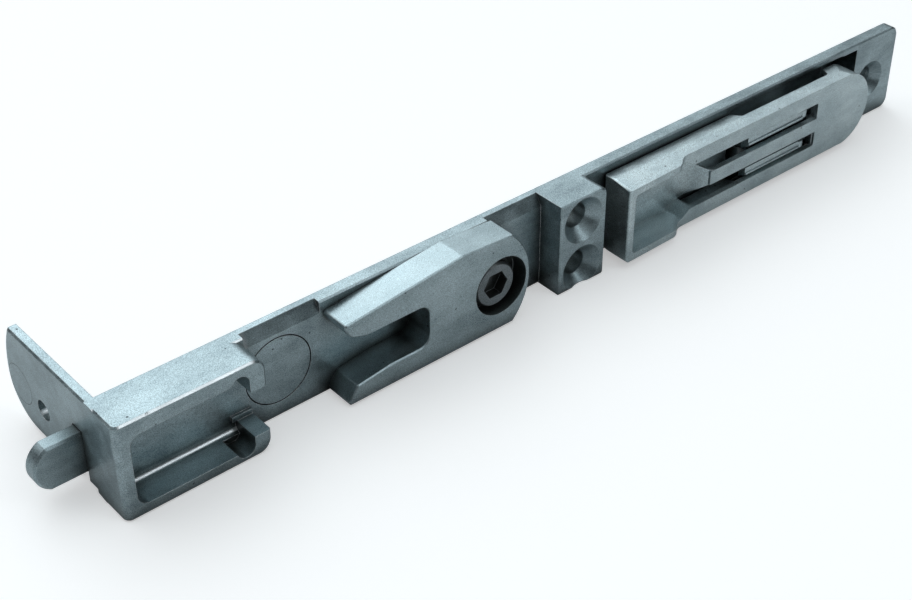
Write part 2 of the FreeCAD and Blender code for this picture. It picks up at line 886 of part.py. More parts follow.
def lever_cavity():
    """Space behind the lever's skin for the link, walled on both sides and round the end."""
    half = lever_width / 2 - lever_wall
    end_radius = half - 2 * lever_end_margin
    left = window_x + cavity_inset
    right = lever_end_x - lever_wall
    corners = [
        (left, -half, cavity_corner_radius),
        (right, -half, end_radius),
        (right, half, end_radius),
        (left, half, cavity_corner_radius),
    ]
    return prism_y(corners, lever_skin_y + lever_skin, plate_front_y + 2)


def centre_bar():
    """Bar down the middle of the window that dives in a smooth ramp to the floor of the grip."""
    top = -centre_bar_drop + centre_bar_width / 2
    bottom = -centre_bar_drop - centre_bar_width / 2
    skin_back = lever_skin_y + lever_skin
    floor_back = plate_front_y - lever_rest_gap
    floor_front = floor_back - grip_floor
    ramp_x = window_x + ramp_inset
    ramp_end_x = ramp_x + ramp_length
    left = ramp_x - ramp_overlap
    right = ramp_end_x + ramp_overlap
    side = [
        (left, floor_front, 0),
        (ramp_x, floor_front, ramp_radius),
        (ramp_end_x, lever_skin_y, ramp_radius),
        (right, lever_skin_y, 0),
        (right, skin_back, 0),
        (ramp_end_x + ramp_skew, skin_back, ramp_radius),
        (ramp_x + ramp_skew, floor_back, ramp_radius),
        (left, floor_back, 0),
    ]
    grip_half = lever_width / 2 - grip_wall
    flare = [
        (left, -grip_half, 0),
        (window_x, -grip_half + ramp_skew, ramp_flare_radius),
        (ramp_end_x, bottom, ramp_radius),
        (right, bottom, 0),
        (right, top, 0),
        (ramp_end_x, top, ramp_radius),
        (window_x, grip_half - ramp_skew, ramp_flare_radius),
        (left, grip_half, 0),
    ]
    ramp = prism_z(side, -grip_half, grip_half).common(prism_y(flare, -1, plate_front_y))
    bar = box(ramp_end_x, window_end_x + overrun, lever_skin_y, skin_back, bottom, top)
    return ramp.fuse(bar)


def knuckle():
    """Thick middle of the lever: the ear that pulls the link and the hub on the hinge pin."""
    z0 = mechanism_z - knuckle_half
    z1 = mechanism_z + knuckle_half
    front = lever_skin_y + lever_skin / 2
    web = box(link_pin_x - ear_radius, hinge_x + hub_radius, front, hinge_y, z0, z1)
    bridge = box(link_pin_x, hinge_x, hinge_y, hinge_y + ear_radius, z0, z1)
    ear = rod_z(link_pin_x, hinge_y, ear_radius, z0, z1)
    hub = rod_z(hinge_x, hinge_y, hub_radius, z0, z1)
    block = web.fuse([bridge, ear, hub])
    half_slot = lug_thickness / 2 + lug_gap
    lug_slot = box(
        hinge_x - lug_foot - swing_clearance,
        hinge_x + hub_radius + 1,
        hinge_y - hub_radius - swing_clearance,
        plate_back_y + 1,
        mechanism_z - half_slot,
        mechanism_z + half_slot,
    )
    return block.cut(lug_slot)


def lever():
    solid = lever_blank().cut([grip_recess(), lever_cavity()])
    solid = solid.fuse([centre_bar(), knuckle()])
    reach = knuckle_half + link_thickness
    z0 = mechanism_z - reach
    z1 = mechanism_z + reach
    hinge_bore = rod_z(hinge_x, hinge_y, hinge_pin_diameter / 2 + pin_clearance, z0, z1)
    link_bore = rod_z(link_pin_x, hinge_y, link_pin_diameter / 2 + pin_clearance, z0, z1)
    return solid.cut([hinge_bore, link_bore]).removeSplitter()


def hinge_pin():
    reach = knuckle_half
    return rod_z(hinge_x, hinge_y, hinge_pin_diameter / 2, mechanism_z - reach, mechanism_z + reach)


def link_arm(side):
    """One of the two link arms; side is 1 above the knuckle, -1 below it."""
    middle = mechanism_z + side * link_spread / 2
    z0 = middle - link_thickness / 2
    z1 = middle + link_thickness / 2
    bar = prism_z(
        [
            (bar_pin_x - link_eye_radius, link_bar_front_y, 0),
            (link_pin_x - link_eye_radius - link_eye_gap, link_bar_front_y, 0),
            (link_pin_x - link_eye_radius - link_eye_gap, hinge_y - link_eye_radius / 2, 0),
            (link_pin_x, hinge_y - link_eye_radius / 2, 0),
            (link_pin_x, link_bar_back_y, 0),
            (bar_pin_x - link_eye_radius, link_bar_back_y, link_heel_radius),
        ],
        z0,
        z1,
    )
    eye = rod_z(link_pin_x, hinge_y, link_eye_radius, z0, z1)
    tail = rod_z(bar_pin_x, hinge_y, link_eye_radius, z0, z1)
    hole = link_pin_diameter / 2 + pin_clearance
    holes = [rod_z(x, hinge_y, hole, z0 - 1, z1 + 1) for x in (link_pin_x, bar_pin_x)]
    return bar.fuse([eye, tail]).cut(holes).removeSplitter()


def link_pin():
    reach = link_inner + link_thickness
    return rod_z(link_pin_x, hinge_y, link_pin_diameter / 2, mechanism_z - reach, mechanism_z + reach)


def bar_pin():
    """Pin in the drive bar's tongue; it stays inside the tongue, where the linkage is opened."""
    reach = knuckle_half
    return rod_z(bar_pin_x, hinge_y, link_pin_diameter / 2, mechanism_z - reach, mechanism_z + reach)


def bar_slot(x, z):
    """Slot in the drive bar for a peg at rest in its right end, as long as the stroke."""
    radius = peg_diameter / 2 + peg_clearance
    y0 = bar_front_y - 1
    y1 = bar_back_y + 1
    left = x - stroke
    slot = rod_y(x, z, radius, y0, y1).fuse(rod_y(left, z, radius, y0, y1))
    return slot.fuse(box(left, x, y0, y1, z - radius, z + radius))


def drive_bar():
    """Flat bar behind the plate, necked past the fixing screws, with a tongue for the link."""
    end_x = bar_pin_x + bar_overrun
    top = -bar_drop + bar_width / 2
    bottom = -bar_drop - bar_width / 2
    screw_reach = fixing_hole_diameter / 2 + 3 * bar_clearance
    neck_top = -fixing_drop + fixing_spacing / 2 - screw_reach
    neck_bottom = -fixing_drop - fixing_spacing / 2 + screw_reach
    neck_x = fixing_x - screw_reach - stroke
    neck_end_x = fixing_x + screw_reach
    corners = [
        (bar_start, bottom, bar_corner_radius),
        (neck_x - bar_neck_slope, bottom, bar_corner_radius),
        (neck_x, neck_bottom, bar_corner_radius),
        (neck_end_x, neck_bottom, bar_corner_radius),
        (neck_end_x + bar_neck_slope, bottom, bar_corner_radius),
        (end_x, bottom, bar_corner_radius),
        (end_x, top, bar_corner_radius),
        (neck_end_x + bar_neck_slope, top, bar_corner_radius),
        (neck_end_x, neck_top, bar_corner_radius),
        (neck_x, neck_top, bar_corner_radius),
        (neck_x - bar_neck_slope, top, bar_corner_radius),
        (bar_start, top, bar_corner_radius),
    ]
    bar = prism_y(corners, bar_front_y, bar_back_y)
    z0 = mechanism_z - knuckle_half
    z1 = mechanism_z + knuckle_half
    tongue = box(bar_pin_x - ear_radius, bar_pin_x + ear_radius, hinge_y, bar_back_y, z0, z1)
    tongue = tongue.fuse(rod_z(bar_pin_x, hinge_y, ear_radius, z0, z1))
    cutters = [bar_slot(x, -bar_drop) for x in peg_stations]
    cutters.append(bar_slot(stud_x, 0))
    cutters.append(rod_z(bar_pin_x, hinge_y, link_pin_diameter / 2 + pin_clearance, z0 - 1, z1 + 1))
    cutters.extend(rivet_hole(x) for x in rivet_stations())
    return bar.fuse(tongue).cut(cutters).removeSplitter()


def rivet_stations():
    return [bolt_tail - rivet_inset + index * rivet_pitch for index in range(2)]


def rivet_hole(x):
    """Hole for one bolt rivet, through the bar and the bolt."""
    return rod_y(x, -bolt_drop, rivet_diameter / 2 + pin_clearance, bar_front_y - 1, bolt_back_y + 1)


def bolt_rivet(x):
    """Rivet flush in the bar, with a flat head on the back of the bolt."""
    shank = rivet_diameter / 2
    head = rivet_head_diameter / 2
    profile = [
        (0, bar_front_y + pin_clearance),
        (shank, bar_front_y + pin_clearance),
        (shank, bolt_back_y),
        (head, bolt_back_y),
        (head, bolt_back_y + rivet_head_height),
        (0, bolt_back_y + rivet_head_height),
    ]
    return turned(x, -bolt_drop, profile)


def bolt():
    """Flat bolt with a rounded nose that stands out of the end plate."""
    half = bolt_width / 2
    straight = bolt_reach - bolt_nose
    low = -bolt_drop - half
    high = -bolt_drop + half
    nose = Vector(-bolt_reach, 0, -bolt_drop)
    edges = [
        Part.LineSegment(Vector(-straight, 0, high), Vector(bolt_tail, 0, high)).toShape(),
        Part.LineSegment(Vector(bolt_tail, 0, high), Vector(bolt_tail, 0, low)).toShape(),
        Part.LineSegment(Vector(bolt_tail, 0, low), Vector(-straight, 0, low)).toShape(),
        Part.Arc(Vector(-straight, 0, low), nose, Vector(-straight, 0, high)).toShape(),
    ]
    face = Part.Face(Part.Wire(edges))
    face.translate(Vector(0, bar_back_y, 0))
    blank = face.extrude(Vector(0, bolt_thickness, 0))
    blank = blank.makeChamfer(bolt_edge_chamfer, edges_at(blank, "Y", bar_back_y))
    return blank.cut([rivet_hole(x) for x in rivet_stations()])


def save(name, shape):
    """Write one piece in the part's own frame."""
    placed = shape.copy()
    placed.translate(-origin)
    if len(placed.Solids) == 1:
        placed = placed.Solids[0]
    placed.exportStep(os.path.join("parts", name + ".step"))


def main():
    os.makedirs("parts", exist_ok=True)
    save("body_casting", body_casting())
    save("guide_stud", guide_stud())
    save("strike_fork", strike_fork())
    save("eccentric_screw", eccentric_screw())
    save("lever", lever())
    save("lever_pin", hinge_pin())
    save("link_upper", link_arm(1))
    save("link_lower", link_arm(-1))
    save("link_pin", link_pin())
    save("bar_pin", bar_pin())
    save("drive_bar", drive_bar())
    save("bolt", bolt())
    for index, x in enumerate(rivet_stations()):
        save("bolt_rivet_%d" % (index + 1), bolt_rivet(x))
    washer_places = [(stud_x, 0), (peg_stations[0], -bar_drop), (peg_stations[1], -bar_drop)]
    for index, (x, z) in enumerate(washer_places):
        save("guide_washer_%d" % (index + 1), guide_washer(x, z))


main()
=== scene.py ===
import logging
import math
from dataclasses import dataclass, field
from enum import Enum

import bmesh
import bpy
from mathutils import Matrix, Vector


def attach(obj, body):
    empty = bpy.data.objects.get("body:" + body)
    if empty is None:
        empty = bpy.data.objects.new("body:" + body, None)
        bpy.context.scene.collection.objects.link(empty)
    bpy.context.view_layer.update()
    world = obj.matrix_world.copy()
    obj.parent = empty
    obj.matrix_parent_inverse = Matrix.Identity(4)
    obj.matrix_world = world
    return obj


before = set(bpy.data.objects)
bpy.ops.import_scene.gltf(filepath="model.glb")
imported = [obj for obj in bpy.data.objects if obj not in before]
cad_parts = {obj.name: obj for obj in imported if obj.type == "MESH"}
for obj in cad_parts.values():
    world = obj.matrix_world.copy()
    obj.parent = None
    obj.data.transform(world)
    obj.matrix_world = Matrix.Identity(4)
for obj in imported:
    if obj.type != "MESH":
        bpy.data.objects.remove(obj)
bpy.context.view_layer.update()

LOG = logging.getLogger("edge_bolt")
MM = 0.001
WELD_MM = 0.001
BEVEL_FROM_RADIANS = 0.5
SMOOTH_BELOW_RADIANS = math.radians(35)
WHITE = (1.0, 1.0, 1.0, 1.0)

Socket = bpy.types.NodeSocket
Pair = tuple[float, float]
Triple = tuple[float, float, float]


class Blend(Enum):
    """Ways to lay one colour on another."""

    OVER = "MIX"
    TIMES = "MULTIPLY"


class Axis(Enum):
    """Axis that a piece is turned round."""

    Y = (0.0, 1.0, 0.0)
    Z = (0.0, 0.0, 1.0)


class Value:
    """A number socket that can stand in a Python expression.

    Each operator adds the Math node that works it out.
    """

    def __init__(self, graph: "Graph", socket: Socket) -> None:
        """Keep the socket and the graph it belongs to.

        Args:
            graph: The graph that new nodes go into.
            socket: The output socket that holds the number.
        """
        self.graph = graph
        self.socket = socket

    def _math(self, operation: str, first: "Value | float", second: "Value | float") -> "Value":
        """Add one Math node.

        Args:
            operation: Blender's name of the operation.
            first: First operand.
            second: Second operand.

        Returns:
            The node's result.
        """
        return self.graph.value("ShaderNodeMath", {"operation": operation}, {0: first, 1: second})

    def __add__(self, other: "Value | float") -> "Value":
        """Sum."""
        return self._math("ADD", self, other)

    __radd__ = __add__

    def __sub__(self, other: "Value | float") -> "Value":
        """Difference."""
        return self._math("SUBTRACT", self, other)

    def __rsub__(self, other: float) -> "Value":
        """Difference from a number."""
        return self._math("SUBTRACT", other, self)

    def __mul__(self, other: "Value | float") -> "Value":
        """Product."""
        return self._math("MULTIPLY", self, other)

    __rmul__ = __mul__

    def power(self, exponent: float) -> "Value":
        """Raise to a power."""
        return self._math("POWER", self, exponent)

    def larger(self, other: "Value | float") -> "Value":
        """The larger of two values."""
        return self._math("MAXIMUM", self, other)

    def ramp(self, low: float, high: float) -> "Value":
        """Smooth step from 0 at low to 1 at high.

        Args:
            low: Where the step starts.
            high: Where the step ends.

        Returns:
            The stepped value.
        """
        inputs = {"Value": self, "From Min": low, "From Max": high}
        return self.graph.value("ShaderNodeMapRange", {"interpolation_type": "SMOOTHSTEP"}, inputs)


class Graph:
    """The node tree of one material or of the world.

    The pairs of numbers say where the step of a mask starts and where it ends.
    """

    EDGE_SAMPLES = 6
    NOOK_SAMPLES = 8
    BUMP_STRENGTH = 0.9
    LEANING = (0.80, 0.995)
    FACING = (0.96, 0.99)
    SHELTERED = (0.35, 0.95)

    def __init__(self, tree: bpy.types.NodeTree) -> None:
        """Start from an empty tree.

        Args:
            tree: The tree that the nodes go into.
        """
        self.tree = tree
        tree.nodes.clear()

    def node(self, kind: str, settings: dict | None = None, inputs: dict | None = None) -> bpy.types.Node:
        """Add a node.

        Args:
            kind: Blender's node type.
            settings: Properties of the node, set before its sockets.
            inputs: Socket names or numbers with a number, a tuple, a socket or a Value.

        Returns:
            The new node.
        """
        made = self.tree.nodes.new(kind)
        for key, setting in (settings or {}).items():
            setattr(made, key, setting)
        for key, given in (inputs or {}).items():
            if isinstance(given, Value):
                given = given.socket
            if isinstance(given, Socket):
                self.tree.links.new(given, made.inputs[key])
            else:
                made.inputs[key].default_value = given
        return made

    def value(
        self, kind: str, settings: dict | None = None, inputs: dict | None = None, out: int | str = 0,
    ) -> Value:
        """Add a node and wrap one of its outputs.

        Args:
            kind: Blender's node type.
            settings: Properties of the node.
            inputs: Its socket values or links.
            out: Name or number of the output.

        Returns:
            The output as a Value.
        """
        return Value(self, self.node(kind, settings, inputs).outputs[out])

    def vector(self, operation: str, first: Socket, second: Socket | Triple) -> Socket:
        """Work out a vector from two.

        Args:
            operation: Blender's name of the operation.
            first: First vector.
            second: Second vector.

        Returns:
            The vector socket.
        """
        made = self.node("ShaderNodeVectorMath", {"operation": operation}, {0: first, 1: second})
        return made.outputs[0]

    def dot(self, first: Socket, second: Socket | Triple) -> Value:
        """How far two directions agree, from -1 to 1."""
        settings = {"operation": "DOT_PRODUCT"}
        return self.value("ShaderNodeVectorMath", settings, {0: first, 1: second}, "Value")

    def along_x(self, where: Socket) -> Value:
        """The X part of a vector."""
        return self.value("ShaderNodeSeparateXYZ", None, {"Vector": where})

    def place(self, stretch: Triple = (1.0, 1.0, 1.0)) -> Socket:
        """Object coordinates in millimetres.

        Args:
            stretch: Factor on each axis, under 1 to draw a pattern out along it.

        Returns:
            The vector socket.
        """
        coordinates = self.node("ShaderNodeTexCoord").outputs["Object"]
        scale = tuple(factor / MM for factor in stretch)
        return self.node("ShaderNodeMapping", None, {"Vector": coordinates, "Scale": scale}).outputs[0]

    def noise(self, where: Socket, per_mm: float, layers: Pair) -> Value:
        """Noise with a scale in cycles for each millimetre.

        Args:
            where: Coordinates in millimetres.
            per_mm: Cycles for each millimetre.
            layers: How many finer layers it has, and how strong each is beside the one before.

        Returns:
            The noise, from 0 to 1.
        """
        octaves, rough = layers
        inputs = {"Vector": where, "Scale": per_mm, "Detail": octaves, "Roughness": rough}
        return self.value("ShaderNodeTexNoise", None, inputs)

    def blend(
        self, share: Value | float, first: Socket | tuple, second: Socket | Triple, how: Blend = Blend.OVER,
    ) -> Socket:
        """Lay one colour on another.

        Args:
            share: Share of the second colour.
            first: First colour.
            second: Second colour.
            how: How the second is laid on the first.

        Returns:
            The colour socket.
        """
        if isinstance(second, tuple):
            second = (*second, 1.0)
        settings = {"data_type": "RGBA", "blend_type": how.value}
        return self.node("ShaderNodeMix", settings, {0: share, 6: first, 7: second}).outputs[2]

    def grey(self, level: Value) -> Socket:
        """A grey of the given level."""
        return self.node("ShaderNodeCombineColor", None, {0: level, 1: level, 2: level}).outputs[0]

    def rounded(self, radius_mm: float) -> Socket:
        """Normal as if every edge were rounded to a radius."""
        settings = {"samples": self.EDGE_SAMPLES}
        return self.node("ShaderNodeBevel", settings, {"Radius": radius_mm * MM}).outputs[0]

    def lean(self, normal: Socket) -> Value:
        """How far a normal leans from the face's own.

        Args:
            normal: The leaning normal.

        Returns:
            1 where it leans, 0 where it doesn't.
        """
        flat = self.node("ShaderNodeNewGeometry").outputs["Normal"]
        return 1.0 - self.dot(normal, flat).ramp(*self.LEANING)

    def facing(self, towards: Triple) -> Value:
        """How squarely a face looks in one direction of its piece.

        Args:
            towards: The direction, of length 1.

        Returns:
            1 where the face looks that way, 0 where it doesn't.
        """
        normal = self.node("ShaderNodeTexCoord").outputs["Normal"]
        return self.dot(normal, towards).ramp(*self.FACING)

    def nooks(self, reach_mm: float) -> Value:
        """Mask of corners and narrow gaps.

        Args:
            reach_mm: How far to look for a nearby face.

        Returns:
            1 deep in a corner, 0 on an open face.
        """
        settings = {"samples": self.NOOK_SAMPLES}
        inputs = {"Distance": reach_mm * MM}
        open_share = self.value("ShaderNodeAmbientOcclusion", settings, inputs, "AO")
        return 1.0 - open_share.ramp(*self.SHELTERED)

    def bump(self, height: Value, depth_mm: float, normal: Socket) -> Socket:
        """Bump normal from a height.

        Args:
            height: Height from 0 to 1.
            depth_mm: Depth of the full height.
            normal: The normal that the bumps stand on.

        Returns:
            The normal socket.
        """
        inputs = {
            "Height": height,
            "Distance": depth_mm * MM,
            "Strength": self.BUMP_STRENGTH,
            "Normal": normal,
        }
        return self.node("ShaderNodeBump", None, inputs).outputs[0]


@dataclass(frozen=True)
class Ring:
    """A fine ring cast into a face that looks along -X.

    Lengths are in millimetres, and depth is a multiple of the skin's relief.
    """

    centre: Triple
    radius: float
    width: float
    fade_below_face: Pair = (0.05, 0.15)
    depth: float = 3.0
    shade: float = 0.7
    tint: Triple = (0.05, 0.06, 0.065)

    def groove(self, graph: Graph, where: Socket) -> Value:
        """Mask of the ring.

        Args:
            graph: The material's graph.
            where: Coordinates in millimetres.

        Returns:
            1 in the groove.
        """
        placed = graph.vector("SUBTRACT", where, self.centre)
        flat = graph.vector("MULTIPLY", placed, (0.0, 1.0, 1.0))
        reach = graph.value("ShaderNodeVectorMath", {"operation": "LENGTH"}, {0: flat}, "Value")
        on_face = 1.0 - graph.along_x(placed).ramp(*self.fade_below_face)
        inner = reach.ramp(self.radius - self.width, self.radius)
        outer = reach.ramp(self.radius, self.radius + self.width)
        return (inner - outer) * on_face


@dataclass(frozen=True)
class Pits:
    """Sparse round pits left by the casting, one at most in each cell of a pattern.

    The wall is in shares of a cell, and depth is a multiple of the skin's relief.
    """

    share: float = 0.5
    share_step: float = 0.02
    per_mm: float = 0.42
    wall: Pair = (0.045, 0.085)
    depth: float = 1.5
    shade: float = 0.75
    tint: Triple = (0.03, 0.035, 0.04)

    def mask(self, graph: Graph, where: Socket) -> Value:
        """Mask of the pits.

        Args:
            graph: The material's graph.
            where: Coordinates in millimetres.

        Returns:
            1 inside a pit.
        """
        inputs = {"Vector": where, "Scale": self.per_mm, "Randomness": 1.0}
        cells = graph.node("ShaderNodeTexVoronoi", None, inputs)
        distance = Value(graph, cells.outputs["Distance"])
        drawn = graph.value("ShaderNodeSeparateColor", None, {"Color": cells.outputs["Color"]})
        chosen = 1.0 - drawn.ramp(self.share, self.share + self.share_step)
        return (1.0 - distance.ramp(*self.wall)) * chosen


@dataclass(frozen=True)
class PaintedShade:
    """Painted shade: darker colour laid into corners and hollows, strongest where nearby faces close in."""

    strength: float = 0.9
    reach_mm: float = 4.0
    tint: Triple = (0.055, 0.053, 0.047)

    def mask(self, graph: Graph) -> Value:
        """How strong the painted shade is at each point."""
        return graph.nooks(self.reach_mm) * self.strength


@dataclass(frozen=True)
class WearAndHighlight:
    """Bright worn edges, in patches, which also serve as painted highlights, and a painted highlight on the
    block's 45 degree front edge.

    Where the painted highlight on the front edge ends along X, and over what length it fades, are in
    millimetres.
    """

    strength: float = 1.0
    patches_per_mm: float = 1.6
    patch_layers: Pair = (3.0, 0.6)
    patch_step: Pair = (0.32, 0.62)
    edge_radius_mm: float = 0.13
    painted_highlight: float = 0.0
    painted_highlight_facing: Triple = (0.0, -0.7071, 0.7071)
    painted_highlight_end_x: float = -57.5
    painted_highlight_fade: float = 0.5
    polish: float = 0.2
    dulling: float = 0.6

    def mask(self, graph: Graph, where: Socket, rounded: Socket) -> Value:
        """Mask of the worn places and the painted highlights.

        Args:
            graph: The material's graph.
            where: Coordinates in millimetres.
            rounded: The normal with rounded edges.

        Returns:
            1 where the metal is rubbed bright.
        """
        patches = graph.noise(where, self.patches_per_mm, self.patch_layers).ramp(*self.patch_step)
        wear_and_highlight_share = graph.lean(rounded) * patches * self.strength
        # Painted highlight: faces looking up and forward at low X, the block's front edge, get the bright
        # edge colour.
        if not self.painted_highlight:
            return wear_and_highlight_share
        low, high = self.painted_highlight_end_x - self.painted_highlight_fade, self.painted_highlight_end_x + self.painted_highlight_fade
        near = 1.0 - graph.along_x(where).ramp(low, high)
        return wear_and_highlight_share.larger(graph.facing(self.painted_highlight_facing) * near * self.painted_highlight)


@dataclass(frozen=True)
class Metal:
    """A metal finish: mottled skin with fine grain, pits, painted shade in hollows, and bright worn edges
    that also serve as painted highlights.
    """

    name: str
    dark: Triple
    light: Triple
    # Colour of the worn edges, which also serve as painted highlights.
    edge: Triple
    roughness: float
    metallic: float = 0.9
    mottle_per_mm: float = 0.62
    mottle_stretch: Triple = (0.45, 1.0, 1.0)
    mottle_layers: Pair = (4.0, 0.62)
    mottle_step: Pair = (0.30, 0.70)
    mottle_share: float = 0.55
    mottle_gloss: float = 0.12
    cloud_ratio: float = 0.22
    cloud_layers: Pair = (2.0, 0.5)
    cloud_step: Pair = (0.35, 0.68)
    grain_per_mm: float = 9.0
    grain_layers: Pair = (2.0, 0.6)
    grain_step: Pair = (0.32, 0.68)
    grain_floor: float = 0.52
    grain_gain: float = 0.62
    grain_gloss: float = 0.08
    relief_mm: float = 0.022
    pits: Pits = Pits()
    painted_shade: PaintedShade = PaintedShade()
    wear_and_highlight: WearAndHighlight = WearAndHighlight()
    ring: Ring | None = None

    def material(self) -> bpy.types.Material:
        """Build the material.

        Returns:
            The node material.
        """
        made = bpy.data.materials.new(self.name)
        made.use_nodes = True
        graph = Graph(made.node_tree)
        where = graph.place()
        drawn = graph.place(self.mottle_stretch)
        mottle = graph.noise(drawn, self.mottle_per_mm, self.mottle_layers).ramp(*self.mottle_step)
        grain = graph.noise(where, self.grain_per_mm, self.grain_layers)
        pits = self.pits.mask(graph, where)
        rounded = graph.rounded(self.wear_and_highlight.edge_radius_mm)
        wear_and_highlight_share = self.wear_and_highlight.mask(graph, where, rounded)
        skin = self._skin(graph, where, mottle, grain)
        skin = graph.blend(pits * self.pits.shade, skin, self.pits.tint)
        # Painted shade: darker colour in corners and hollows.
        skin = graph.blend(self.painted_shade.mask(graph), skin, self.painted_shade.tint)
        # Bright worn edges in colour, partly real wear and partly painted highlight.
        skin = graph.blend(wear_and_highlight_share, skin, self.edge)
        height = grain * 0.5 + mottle * 0.5 - pits * self.pits.depth
        if self.ring:
            groove = self.ring.groove(graph, where)
            skin = graph.blend(groove * self.ring.shade, skin, self.ring.tint)
            height = height - groove * self.ring.depth
        gloss = (mottle - 0.5) * self.mottle_gloss + (grain - 0.5) * self.grain_gloss
        shader = graph.node("ShaderNodeBsdfPrincipled", None, {
            "Base Color": skin,
            "Metallic": self.metallic - wear_and_highlight_share * self.wear_and_highlight.dulling,
            "Roughness": self.roughness + gloss - wear_and_highlight_share * self.wear_and_highlight.polish,
            "Normal": graph.bump(height, self.relief_mm, rounded),
        })
        graph.node("ShaderNodeOutputMaterial", None, {"Surface": shader.outputs[0]})
        return made

    def _skin(self, graph: Graph, where: Socket, mottle: Value, grain: Value) -> Socket:
        """Clean skin, from dark to light in blotches, with bright and dull grains.

        Args:
            graph: The material's graph.
            where: Coordinates in millimetres.
            mottle: Small blotches.
            grain: Fine grain.

        Returns:
            The colour socket.
        """
        clouds_per_mm = self.mottle_per_mm * self.cloud_ratio
        cloud = graph.noise(where, clouds_per_mm, self.cloud_layers).ramp(*self.cloud_step)
        tone = mottle * self.mottle_share + cloud * (1.0 - self.mottle_share)
        skin = graph.blend(tone, (*self.dark, 1.0), self.light)
        specks = grain.ramp(*self.grain_step) * self.grain_gain + self.grain_floor
        return graph.blend(1.0, skin, graph.grey(specks), Blend.TIMES)


DIE_CAST_DARK = (0.31, 0.385, 0.41)
DIE_CAST_LIGHT = (0.54, 0.65, 0.68)
# Colour of worn edges, which also serve as painted highlights.
DIE_CAST_WORN_EDGE_AND_HIGHLIGHT = (0.97, 0.99, 1.0)
FEW_PITS = Pits(share=0.02)


class Finish(Enum):
    """The finishes of the object's pieces."""

    CAST = Metal("cast_zinc", DIE_CAST_DARK, DIE_CAST_LIGHT, DIE_CAST_WORN_EDGE_AND_HIGHLIGHT, 0.36)
    # The body's worn edges add a painted highlight along the block's front edge.
    BODY = Metal(
        "body_zinc", DIE_CAST_DARK, DIE_CAST_LIGHT, DIE_CAST_WORN_EDGE_AND_HIGHLIGHT, 0.36,
        wear_and_highlight=WearAndHighlight(painted_highlight=0.7), ring=Ring((-81.1, 19.1, -0.45), 3.1, 0.11),
    )
    LEVER = Metal(
        "lever_zinc", (0.53, 0.635, 0.665), (0.79, 0.90, 0.92), (0.95, 0.97, 0.98), 0.36,
        painted_shade=PaintedShade(strength=0.3),
    )
    FORK = Metal(
        "fork_zinc", (0.36, 0.445, 0.47), (0.58, 0.69, 0.72), (0.92, 0.96, 0.97), 0.33,
        mottle_per_mm=0.35, grain_per_mm=12.0,
    )
    DARK_STEEL = Metal(
        "screw_steel", (0.19, 0.215, 0.225), (0.30, 0.33, 0.345), (0.60, 0.64, 0.66), 0.38,
        grain_per_mm=14.0, relief_mm=0.006, pits=FEW_PITS,
    )
    # Plated steel coloured lighter as painted light, for the link arm fronts that sit in shade in the
    # lever's window.
    PLATED_PAINTED_LIGHT = Metal(
        "plated_steel_painted_light", (0.56, 0.66, 0.69), (0.68, 0.78, 0.80), (0.90, 0.95, 0.97), 0.34,
        relief_mm=0.003, pits=FEW_PITS, painted_shade=PaintedShade(strength=0.25, reach_mm=0.6),
        wear_and_highlight=WearAndHighlight(strength=0.5, edge_radius_mm=0.05),
    )
    PLATED = Metal(
        "plated_steel", (0.40, 0.47, 0.49), (0.56, 0.63, 0.655), (0.75, 0.81, 0.83), 0.33,
        relief_mm=0.005, pits=FEW_PITS,
    )


class Workshop:
    """Makes each finish once and puts it on pieces."""

    def __init__(self) -> None:
        """Start with no material made."""
        self.made: dict[Finish, bpy.types.Material] = {}

    def dress(self, piece: bpy.types.Object, finish: Finish) -> None:
        """Put a finish on every slot of a piece.

        Args:
            piece: The piece.
            finish: Its finish.
        """
        if finish not in self.made:
            self.made[finish] = finish.value.material()
        if not piece.material_slots:
            piece.data.materials.append(self.made[finish])
        for slot in piece.material_slots:
            slot.material = self.made[finish]


@dataclass(frozen=True)
class Trim:
    """A small piece made here, in millimetres, that rides on a body."""

    name: str
    body: str
    slot: str
    finish: Finish
    edge: float

    def _close(self, shape: bmesh.types.BMesh, shop: Workshop) -> None:
        """Break the sharp edges and turn the shape into a piece.

        Args:
            shape: The shape, which is freed.
            shop: Where the finishes are made.
        """
        bmesh.ops.remove_doubles(shape, verts=shape.verts, dist=WELD_MM * MM)
        bmesh.ops.recalc_face_normals(shape, faces=shape.faces)
        sharp = [side for side in shape.edges if side.calc_face_angle(0.0) > BEVEL_FROM_RADIANS]
        bmesh.ops.bevel(
            shape, geom=sharp, offset=self.edge * MM, affect="EDGES", segments=2, profile=0.5, material=-1,
        )
        mesh = bpy.data.meshes.new(self.name)
        shape.to_mesh(mesh)
        shape.free()
        mesh.shade_smooth()
        mesh.set_sharp_from_angle(angle=SMOOTH_BELOW_RADIANS)
        piece = bpy.data.objects.new(self.name, mesh)
        bpy.context.scene.collection.objects.link(piece)
        shop.dress(piece, self.finish)
        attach(piece, self.body)


@dataclass(frozen=True)
class Moulding(Trim):
    """One cross-section in Y and Z, drawn out along X."""

    start: float
    end: float
    section: tuple[Pair, ...]

    def build(self, shop: Workshop) -> None:
        """Make the piece.

        Args:
            shop: Where the finishes are made.
        """
        shape = bmesh.new()
        corners = [shape.verts.new((self.start * MM, y * MM, z * MM)) for y, z in self.section]
        first = shape.faces.new(corners)
        drawn = bmesh.ops.extrude_face_region(shape, geom=[first], use_keep_orig=True)["geom"]
        moved = [item for item in drawn if isinstance(item, bmesh.types.BMVert)]
        bmesh.ops.translate(shape, verts=moved, vec=((self.end - self.start) * MM, 0.0, 0.0))
        self._close(shape, shop)


